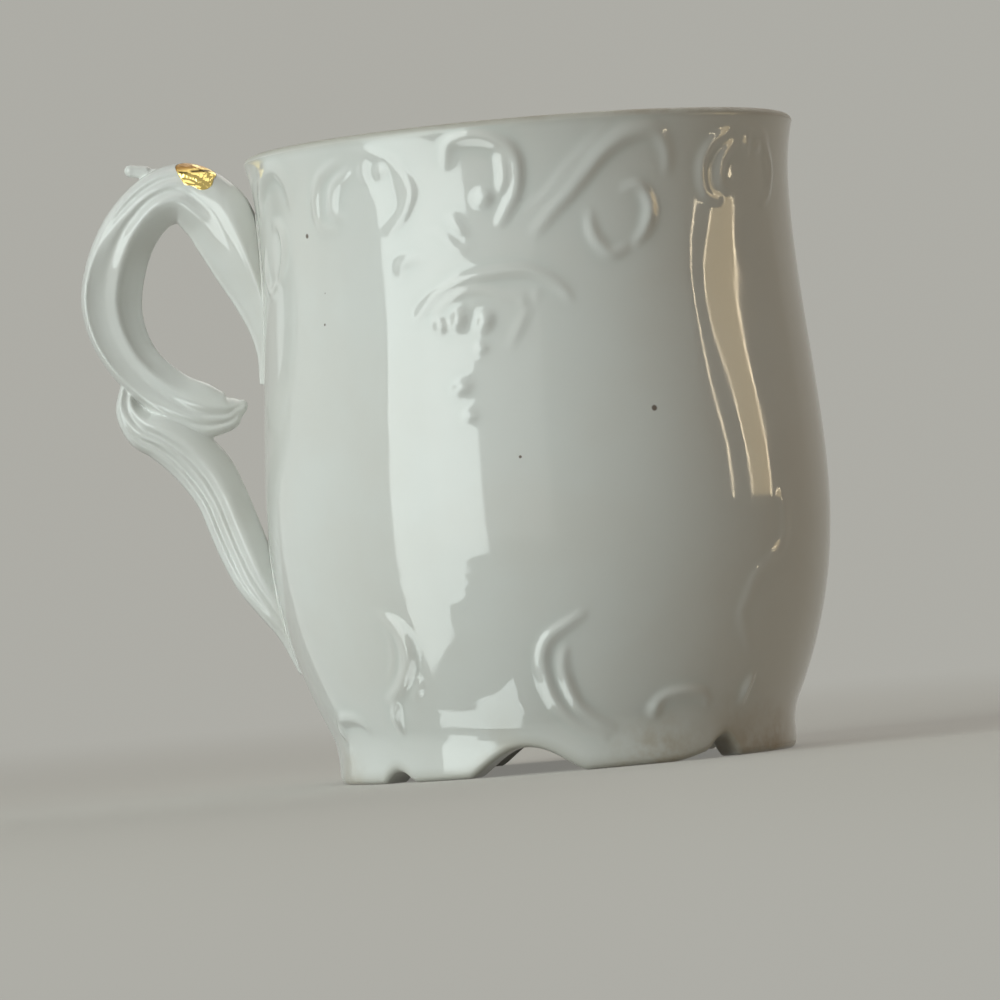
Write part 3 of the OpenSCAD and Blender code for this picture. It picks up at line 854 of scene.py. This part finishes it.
def build_gilding(handle):
    """Thin gold laid on the handle's own skin, looked at from above the near edge of the thumb rest."""
    low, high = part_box("thumb_gilding")
    middle = (low + high) / 2 / MM
    lean = math.radians(GILT_LEAN)
    down = Vector((0, math.sin(lean), -math.cos(lean)))
    slope = Vector((0, math.cos(lean), math.sin(lean)))
    places = [v.co / MM for v in handle.data.vertices]
    tree = BVHTree.FromPolygons(places, [p.vertices[:] for p in handle.data.polygons])
    start = Vector((middle.x, GILT_SIDE, high.z / MM - GILT_DROP)) - down * GILT_DISTANCE
    edge = gilt_edge()
    top, under = [], []
    for circle in range(GILT_RINGS + 1):
        for j in range(GILT_AROUND if circle else 1):
            a = 2 * math.pi * j / GILT_AROUND
            share = circle / GILT_RINGS * float(edge[j])
            along = Vector((share * GILT_HALF_LENGTH * math.cos(a), 0, 0))
            offset = along + slope * (share * GILT_HALF_WIDTH * math.sin(a))
            hit, normal, _, _ = tree.ray_cast(start + offset, down)
            if hit is None:
                hit, normal, _, _ = tree.find_nearest(start + offset + down * GILT_DISTANCE)
            top.append(hit + normal * GILT_LIFT)
            under.append(hit - normal * GILT_LIFT)
    return mesh_object("gold_wear", [p * MM for p in top + under], gilt_faces(len(top)))


class Graph:
    """Short way to write a material's nodes."""

    def __init__(self, name):
        self.material = bpy.data.materials.new(name)
        self.material.use_nodes = True
        self.tree = self.material.node_tree
        self.shader = self.tree.nodes["Principled BSDF"]

    def node(self, kind, *links, **settings):
        """New node, with its settings and its inputs' sources or values."""
        made = self.tree.nodes.new("ShaderNode" + kind)
        for key, value in settings.items():
            setattr(made, key, value)
        for target, source in links:
            self.put(made.inputs[target], source)
        return made

    def put(self, socket, source):
        """Link or value of a socket."""
        if isinstance(source, bpy.types.NodeSocket):
            self.tree.links.new(source, socket)
        else:
            socket.default_value = source

    def attribute(self, name):
        return self.node("Attribute", attribute_name=name).outputs["Fac"]

    def place(self):
        return self.node("TexCoord").outputs["Object"]

    def noise(self, scale, detail=2.0, roughness=0.5):
        return self.node("TexNoise", ("Vector", self.place()), ("Scale", scale), ("Detail", detail),
                         ("Roughness", roughness)).outputs["Fac"]

    def ramp(self, value, low, high, to_low=0.0, to_high=1.0):
        """Value carried softly from one range to another."""
        return self.node("MapRange", ("Value", value), ("From Min", low), ("From Max", high),
                         ("To Min", to_low), ("To Max", to_high),
                         interpolation_type="SMOOTHSTEP").outputs["Result"]

    def calc(self, operation, *values):
        return self.node("Math", *enumerate(values), operation=operation).outputs[0]

    def times(self, a, b):
        return self.calc("MULTIPLY", a, b)

    def blend(self, share, a, b):
        """Colour at a share of the way from one to another."""
        made = self.node("Mix", data_type="RGBA")
        self.put(made.inputs["Factor"], share)
        self.put(made.inputs[6], a)
        self.put(made.inputs[7], b)
        return made.outputs[2]

    def bump(self, height, strength, distance):
        made = self.node("Bump", ("Height", height), ("Strength", strength), ("Distance", distance))
        return made.outputs["Normal"]


# Colours of the glaze, its stains and the gold
GLAZE_WHITE = (0.81, 0.82, 0.795, 1)
GLAZE_IVORY = (0.79, 0.785, 0.75, 1)
# Handle's white: the body's glaze painted lighter, standing in for the stronger light on the handle
HANDLE_PAINTED_LIGHTER_WHITE = (0.87, 0.88, 0.86, 1)
GLAZE_POOL = (0.69, 0.73, 0.7, 1)
STAIN_TAN = (0.42, 0.31, 0.16, 1)
WORN_BEIGE = (0.47, 0.44, 0.37, 1)
LIP_BROWN = (0.27, 0.19, 0.12, 1)
SPECK_BROWN = (0.13, 0.08, 0.055, 1)
GOLD = (0.95, 0.74, 0.27, 1)
# Brown of the upper gold: partly wear, partly a painted dark reflection
GOLD_WORN_AND_DARK_REFLECTION = (0.36, 0.2, 0.06, 1)
# Painted dark reflection: colour of the dark streak across the gold
GOLD_PAINTED_DARK_REFLECTION = (0.06, 0.035, 0.012, 1)

# Glaze: scales of its noises and the part of each that counts, index of refraction, and its fine bump
CLOUD_SCALE = 70
CLOUD_RANGE = (0.35, 0.7)
BLOTCH_SCALE = 190
BLOTCH_RANGE = (0.36, 0.62)
GLOSS_SCALE = 240
GLOSS_RANGE = (0.3, 0.7)
GLAZE_SCALE = 420
GLAZE_IOR = 1.55
GLAZE_BUMP = 0.04
BUMP_DEPTH = 0.2 * MM
# Roughness of the glaze at its glossiest and dullest, what wear adds to it, and the shine left there
ROUGHNESS = (0.04, 0.08)
WORN_ROUGHNESS = 0.45
SHINE = 0.5
WORN_SHINE = 0.12
# How strongly wear, pools and stains cover the white
WORN_COVER = 0.75
POOL_COVER = 0.5
STAIN_COVER = 0.9
LIP_COVER = 0.85
# Iron specks in the front's glaze: angle, height and radius, how strongly they cover, and their soft edge
SPECKS = [(25.7, 33.6, 0.3), (-50.5, 53.1, 0.26), (-2, 30, 0.16), (-45.9, 44.4, 0.16), (-45.5, 47.4, 0.12)]
SPECK_COVER = 0.9
SPECK_EDGE = (0.6, 1.2)
# Pinpricks all over: cells a metre, radii of their soft edge in a cell, how strongly they cover, rarity
PINPRICK_CELLS = 110
PINPRICK_EDGE = (0.012, 0.022)
PINPRICK_COVER = 0.7
PINPRICK_RARITY = 0.94
# Gold: height and half width of the painted dark streak across it, a dark reflection painted into its
# colour, heights between which its brown sets in, partly wear and partly painted dark reflection, and noises
PAINTED_STREAK_HEIGHT = 61.3
PAINTED_STREAK_HALF_WIDTH = 0.3
GOLD_BROWN_FROM = PAINTED_STREAK_HEIGHT - 0.2
GOLD_BROWN_TO = PAINTED_STREAK_HEIGHT + 0.5
GOLD_BROWN_SCALE = 900
GOLD_BROWN_RANGE = (0.3, 0.5)
PAINTED_STREAK_SCALE = 700
PAINTED_STREAK_RANGE = (0.35, 0.55)
GOLD_SCALE = 1300
GOLD_BUMP = 0.7
GOLD_ROUGHNESS = (0.1, 0.3)


def aged(g, colour):
    """Body's colour where it is worn, where glaze has gathered, and where it is stained."""
    colour = g.blend(g.times(g.attribute("worn"), WORN_COVER), colour, WORN_BEIGE)
    colour = g.blend(g.times(g.attribute("pool"), POOL_COVER), colour, GLAZE_POOL)
    blotches = g.ramp(g.noise(BLOTCH_SCALE, 4, 0.6), *BLOTCH_RANGE)
    colour = g.blend(g.times(g.times(g.attribute("stain"), blotches), STAIN_COVER), colour, STAIN_TAN)
    return g.blend(g.times(g.times(g.attribute("lip"), blotches), LIP_COVER), colour, LIP_BROWN)


def specked(g, colour):
    """Colour with the iron specks that the front shows."""
    for angle, height, radius in SPECKS:
        r = float(wall_radius(np.array(height)))
        spot = (direction(angle) * r + Vector((0, 0, height))) * MM
        away = g.node("VectorMath", (0, g.place()), (1, spot), operation="DISTANCE").outputs["Value"]
        inner, outer = (radius * MM * share for share in SPECK_EDGE)
        colour = g.blend(g.ramp(away, inner, outer, SPECK_COVER, 0.0), colour, SPECK_BROWN)
    return colour


def pinpricked(g, colour):
    """Colour with rare fine dots all over."""
    cells = g.node("TexVoronoi", ("Vector", g.place()), ("Scale", PINPRICK_CELLS))
    dot = g.ramp(cells.outputs["Distance"], *PINPRICK_EDGE, PINPRICK_COVER, 0.0)
    draw = g.node("SeparateColor", ("Color", cells.outputs["Color"])).outputs[0]
    return g.blend(g.times(dot, g.calc("GREATER_THAN", draw, PINPRICK_RARITY)), colour, SPECK_BROWN)


def porcelain(name, white, on_body=False):
    """White glaze with faint clouds and pinpricks; on the body also wear, pools, stains and iron specks."""
    g = Graph(name)
    colour = g.blend(g.ramp(g.noise(CLOUD_SCALE, 3), *CLOUD_RANGE), white, GLAZE_IVORY)
    rough = g.ramp(g.noise(GLOSS_SCALE), *GLOSS_RANGE, *ROUGHNESS)
    if on_body:
        colour = specked(g, aged(g, colour))
        worn = g.attribute("worn")
        rough = g.calc("ADD", rough, g.times(worn, WORN_ROUGHNESS))
        g.put(g.shader.inputs["Specular IOR Level"], g.ramp(worn, 0, 1, SHINE, WORN_SHINE))
    g.put(g.shader.inputs["Base Color"], pinpricked(g, colour))
    g.put(g.shader.inputs["Roughness"], rough)
    g.shader.inputs["IOR"].default_value = GLAZE_IOR
    g.put(g.shader.inputs["Normal"], g.bump(g.noise(GLAZE_SCALE), GLAZE_BUMP, BUMP_DEPTH))
    return g.material


def gilding():
    """Burnished gold with a painted dark streak, a dark reflection painted into its colour, and brown
    patches above it that are partly wear and partly painted dark reflection.
    """
    g = Graph("gold_worn_and_painted_dark")
    level = g.node("SeparateXYZ", ("Vector", g.place())).outputs["Z"]
    patch = g.ramp(g.noise(GOLD_BROWN_SCALE, 3, 0.6), *GOLD_BROWN_RANGE)
    # Brown patches on the upper gold: partly wear, partly a painted dark reflection
    worn = g.times(g.ramp(level, GOLD_BROWN_FROM * MM, GOLD_BROWN_TO * MM), patch)
    # Painted dark streak: a dark reflection painted into the gold's colour
    off = g.calc("ABSOLUTE", g.calc("SUBTRACT", level, PAINTED_STREAK_HEIGHT * MM))
    near = g.ramp(off, 0.0, PAINTED_STREAK_HALF_WIDTH * MM, 1.0, 0.0)
    painted_streak = g.times(near, g.ramp(g.noise(PAINTED_STREAK_SCALE), *PAINTED_STREAK_RANGE))
    g.put(g.shader.inputs["Base Color"], g.blend(painted_streak, g.blend(worn, GOLD, GOLD_WORN_AND_DARK_REFLECTION), GOLD_PAINTED_DARK_REFLECTION))
    g.put(g.shader.inputs["Roughness"], g.ramp(worn, 0, 1, *GOLD_ROUGHNESS))
    g.shader.inputs["Metallic"].default_value = 1.0
    g.put(g.shader.inputs["Normal"], g.bump(g.noise(GOLD_SCALE), GOLD_BUMP, BUMP_DEPTH))
    return g.material


def finish_piece(obj, node, material):
    """Piece with its material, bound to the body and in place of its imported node."""
    obj.data.materials.clear()
    obj.data.materials.append(material)
    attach(obj, BODY)
    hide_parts(node)


body = build_body()
handle = build_handle()
upper_slip = build_slip("upper_slip_bead", handle, ROOTS_PART, LIP_HEIGHT)
lower_slip = build_slip("lower_slip_bead", handle, 0, ROOTS_PART)
to_metres(cut_by_wall(handle, "DIFFERENCE", wall_cutter(ROOT_CLEARANCE)))
gold = build_gilding(handle)
# Glaze of the handle and the slips, painted lighter than the body's for the light on the handle
plain_glaze = porcelain("handle_glaze", HANDLE_PAINTED_LIGHTER_WHITE)
finish_piece(body, "cup_body", porcelain("body_glaze", GLAZE_WHITE, on_body=True))
finish_piece(handle, "handle", plain_glaze)
finish_piece(upper_slip, "upper_luting_slip", plain_glaze)
finish_piece(lower_slip, "lower_luting_slip", plain_glaze)
finish_piece(gold, "thumb_gilding", gilding())

# Camera: the photograph's view, turned a little to the right of the front and rolled
CAMERA_DISTANCE = 620
CAMERA_HEIGHT = 16.5
CAMERA_TURN = 2.6
CAMERA_ROLL = 4.82
FRAME_CENTRE = (-4.67, -0.21, 26.56)
MM_PER_PIXEL = 0.0984
FRAME_PIXELS = 1000
SENSOR = 36
NEAREST = 0.05
FARTHEST = 50


def add_camera():
    """Camera aimed at the frame's centre, with its roll."""
    data = bpy.data.cameras.new("camera")
    data.sensor_width = SENSOR
    data.lens = SENSOR * CAMERA_DISTANCE / (MM_PER_PIXEL * FRAME_PIXELS)
    data.clip_start = NEAREST
    data.clip_end = FARTHEST
    camera = bpy.data.objects.new("camera", data)
    bpy.context.scene.collection.objects.link(camera)
    place = direction(CAMERA_TURN) * CAMERA_DISTANCE + Vector((0, 0, CAMERA_HEIGHT))
    ahead = (Vector(FRAME_CENTRE) - place).normalized()
    right = ahead.cross(Vector((0, 0, 1))).normalized()
    level_up = right.cross(ahead)
    roll = math.radians(CAMERA_ROLL)
    up = level_up * math.cos(roll) + right * math.sin(roll)
    right = ahead.cross(up)
    turn = Matrix((right, up, -ahead)).transposed().to_4x4()
    camera.matrix_world = Matrix.Translation(place * MM) @ turn
    bpy.context.scene.camera = camera


# Stage: the floor glows a little for the camera and fades into the background
BACKGROUND = (0.42, 0.415, 0.38, 1)
FLOOR_COLOUR = (0.43, 0.42, 0.39, 1)
FLOOR_GLOW = (0.185, 0.182, 0.168, 1)
FILL = (0.02, 0.006, 0, 1)
FLOOR_RADIUS = 4
FLOOR_SIDES = 128
FADE_START = 0.08
FADE_END = 0.4


def add_floor():
    """Round floor that keeps the cup's shadow and stays out of its reflections."""
    turn = np.arange(FLOOR_SIDES) * 2 * math.pi / FLOOR_SIDES
    points = np.stack([np.cos(turn), np.sin(turn), np.zeros(FLOOR_SIDES)], axis=1) * FLOOR_RADIUS
    floor = mesh_object("floor", points, [list(range(FLOOR_SIDES))], smooth=False)
    g = Graph("pale_floor")
    g.tree.nodes.remove(g.shader)
    seen = g.node("LightPath").outputs["Is Camera Ray"]
    cloth = g.node("BsdfDiffuse", ("Color", FLOOR_COLOUR))
    glow = g.node("Emission", ("Color", FLOOR_GLOW), ("Strength", seen))
    near = g.node("AddShader", (0, cloth.outputs[0]), (1, glow.outputs[0]))
    far = g.node("Emission", ("Color", BACKGROUND), ("Strength", 1.0))
    length = g.node("VectorMath", (0, g.place()), operation="LENGTH").outputs["Value"]
    share = g.times(g.ramp(length, FADE_START, FADE_END), seen)
    mixed = g.node("MixShader", (0, share), (1, near.outputs[0]), (2, far.outputs[0]))
    g.tree.links.new(mixed.outputs[0], g.tree.nodes["Material Output"].inputs["Surface"])
    floor.data.materials.append(g.material)
    floor.visible_glossy = False


def add_world():
    """World that shows the background to the camera and in reflections, and lights with a weak fill."""
    world = bpy.data.worlds.new("studio")
    bpy.context.scene.world = world
    world.use_nodes = True
    tree = world.node_tree
    fill = tree.nodes["Background"]
    fill.inputs["Color"].default_value = FILL
    seen = tree.nodes.new("ShaderNodeBackground")
    seen.inputs["Color"].default_value = BACKGROUND
    path = tree.nodes.new("ShaderNodeLightPath")
    share = path.outputs["Is Camera Ray"]
    for other in ("Is Glossy Ray", "Is Transmission Ray"):
        either = tree.nodes.new("ShaderNodeMath")
        either.operation = "MAXIMUM"
        tree.links.new(share, either.inputs[0])
        tree.links.new(path.outputs[other], either.inputs[1])
        share = either.outputs[0]
    mixed = tree.nodes.new("ShaderNodeMixShader")
    tree.links.new(share, mixed.inputs[0])
    tree.links.new(fill.outputs[0], mixed.inputs[1])
    tree.links.new(seen.outputs[0], mixed.inputs[2])
    tree.links.new(mixed.outputs[0], tree.nodes["World Output"].inputs["Surface"])


# Lights: colours, radiance of the window, and how far away the left wall and the screens are
COOL = (0.9, 1, 0.97)
NEUTRAL = (1, 0.98, 0.93)
WARM = (1, 0.83, 0.57)
AMBER = (1, 0.74, 0.36)
WINDOW_RADIANCE = 3.75
LEFT_WALL = -0.6
SCREEN_DISTANCE = 0.9
# Window on the left wall, stepped along its lower edge: name, place along the wall and height, and size
WALL_LIGHTS = [
    ("window", -0.876, 0.31, (1.13, 1.06)),
    ("near_sill", -0.465, -0.31, (0.31, 0.18)),
    ("middle_sill", -0.76, -0.265, (0.28, 0.09)),
]
# Pane below the window, and curtains beside it: name, angle, half angle, lower and upper end, radiance
DAY_SCREENS = [
    ("lower_pane", -46, 24, -1.28, -0.78, WINDOW_RADIANCE),
    ("curtain", -118, 19.5, -0.6, 0.75, 0.5),
    ("curtain_fold", -91, 7.5, -0.6, 0.75, 0.3),
]
# Softboxes that face the cup: name, place, size and radiance
SOFTBOXES = [
    ("ceiling", Vector((0, 0, 1.2)), (0.8, 0.8), 1),
    ("front_light", direction(-20) * 1.5 + Vector((0, 0, 0.3)), (1.4, 1), 0.42),
    ("back_light", direction(160) + Vector((0, 0, 0.9)), (1, 0.8), 1.25),
]
BAND_ANGLE = 97.9
BAND_HALF_ANGLE = 5.5
# Narrow lights on the right, a slit and a band with bright edges: name, angle, half angle, radiance, colour
STRIPS = [
    ("slit", 83.4, 0.55, 10, WARM),
    ("band", BAND_ANGLE, BAND_HALF_ANGLE, 2.1, AMBER),
    ("band_edge", BAND_ANGLE - BAND_HALF_ANGLE, 0.35, 10, WARM),
    ("band_far_edge", BAND_ANGLE + BAND_HALF_ANGLE, 0.35, 10, WARM),
]
STRIP_LOW = 0.007
STRIP_HIGH = 0.3


def add_window(name, place, facing, size, radiance, colour):
    """Soft rectangular light of a given radiance, its width level and its height upright."""
    data = bpy.data.lights.new(name, "AREA")
    data.shape = "RECTANGLE"
    data.size, data.size_y = size
    data.energy = radiance * math.pi * size[0] * size[1]
    data.color = colour
    lamp = bpy.data.objects.new(name, data)
    bpy.context.scene.collection.objects.link(lamp)
    lamp.location = place
    lamp.rotation_euler = Vector(facing).to_track_quat("-Z", "Y").to_euler()
    lamp.visible_camera = False


def add_screen(name, turn, half_angle, low, high, radiance, colour):
    """Upright light that spans an angle round the cup, between two heights."""
    away = direction(turn)
    width = 2 * SCREEN_DISTANCE * math.tan(math.radians(half_angle))
    place = away * SCREEN_DISTANCE + Vector((0, 0, (low + high) / 2))
    add_window(name, place, -away, (width, high - low), radiance, colour)


def add_lights():
    """All lights, from the daylight on the left to the warm strips on the right."""
    for name, along, height, size in WALL_LIGHTS:
        add_window(name, (LEFT_WALL, along, height), (1, 0, 0), size, WINDOW_RADIANCE, COOL)
    for screen in DAY_SCREENS:
        add_screen(*screen, COOL)
    for name, place, size, radiance in SOFTBOXES:
        add_window(name, place, -place, size, radiance, NEUTRAL)
    for name, turn, half_angle, radiance, colour in STRIPS:
        add_screen(name, turn, half_angle, STRIP_LOW, STRIP_HIGH, radiance, colour)


add_camera()
add_floor()
add_world()
add_lights()
bpy.context.scene.view_settings.view_transform = "Standard"
